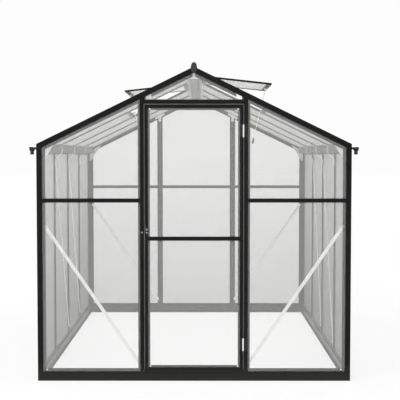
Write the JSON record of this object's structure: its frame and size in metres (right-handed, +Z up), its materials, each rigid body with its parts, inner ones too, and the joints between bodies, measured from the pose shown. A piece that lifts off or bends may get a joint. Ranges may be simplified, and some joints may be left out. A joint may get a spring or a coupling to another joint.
{
  "type": "greenhouse",
  "caption": "Walk-in greenhouse with a black aluminium frame, twin-wall sheets, a pitched roof with open roof vents, gutters and a hinged door in the gable.",
  "frame": {"origin": "ground level, in the middle of the footprint", "axes": "+Y from the gable with the door to the rear gable, along the ridge; +X to the right for someone who faces the door; +Z up"},
  "size_m": [1.99, 2.533, 1.9293],
  "materials": {
    "frame_black": "satin powder coat",
    "plastic_black": "matte",
    "fitting_light": "plain mill finish",
    "sheet_clear": "clear twin-wall sheet"
  },
  "bodies": {
    "greenhouse": {"base_front": "frame_black", "base_rear": "frame_black", "base_left": "frame_black", "base_right": "frame_black", "corner_posts": "frame_black", "door_posts": "frame_black", "door_header": "frame_black", "rear_studs": "frame_black", "front_mid_rails": "frame_black", "rear_mid_rails": "frame_black", "left_rafters": "frame_black", "right_rafters": "frame_black", "ridge_beam": "frame_black", "left_eaves_beam": "frame_black", "right_eaves_beam": "frame_black", "wall_bars": "frame_black", "roof_bars": "frame_black", "roof_vent_stiles": "frame_black", "roof_vent_rails": "frame_black", "vent_cross_bars": "frame_black", "corner_plates": "frame_black", "ridge_end_caps": "plastic_black", "gutter_spouts": "plastic_black", "roof_vent_stays": "fitting_light", "roof_vent_brackets": "fitting_light", "cross_bar_brackets": "fitting_light", "gable_braces": "fitting_light", "side_braces": "fitting_light", "eaves_gussets": "fitting_light", "ridge_gussets": "fitting_light", "stud_brackets": "fitting_light", "eaves_straps": "fitting_light", "hinge_post_leaves": "fitting_light", "latch_keeper": "fitting_light", "roof_vent_panes": "sheet_clear", "side_panes": "sheet_clear", "roof_panes": "sheet_clear", "front_panes": "sheet_clear", "gable_pane": "sheet_clear", "rear_panes": "sheet_clear"},
    "door": {"door_stiles": "frame_black", "door_rails": "frame_black", "door_panes": "sheet_clear", "hinge_door_leaves": "fitting_light", "door_latch": "plastic_black"}
  },
  "joints": [
    {"name": "door_hinge", "type": "hinge", "parent": "greenhouse", "child": "door", "pos_m": [0.298, -1.2645, 0.87], "axis": [0, 0, 1], "range_deg": [0, 120]}
  ]
}
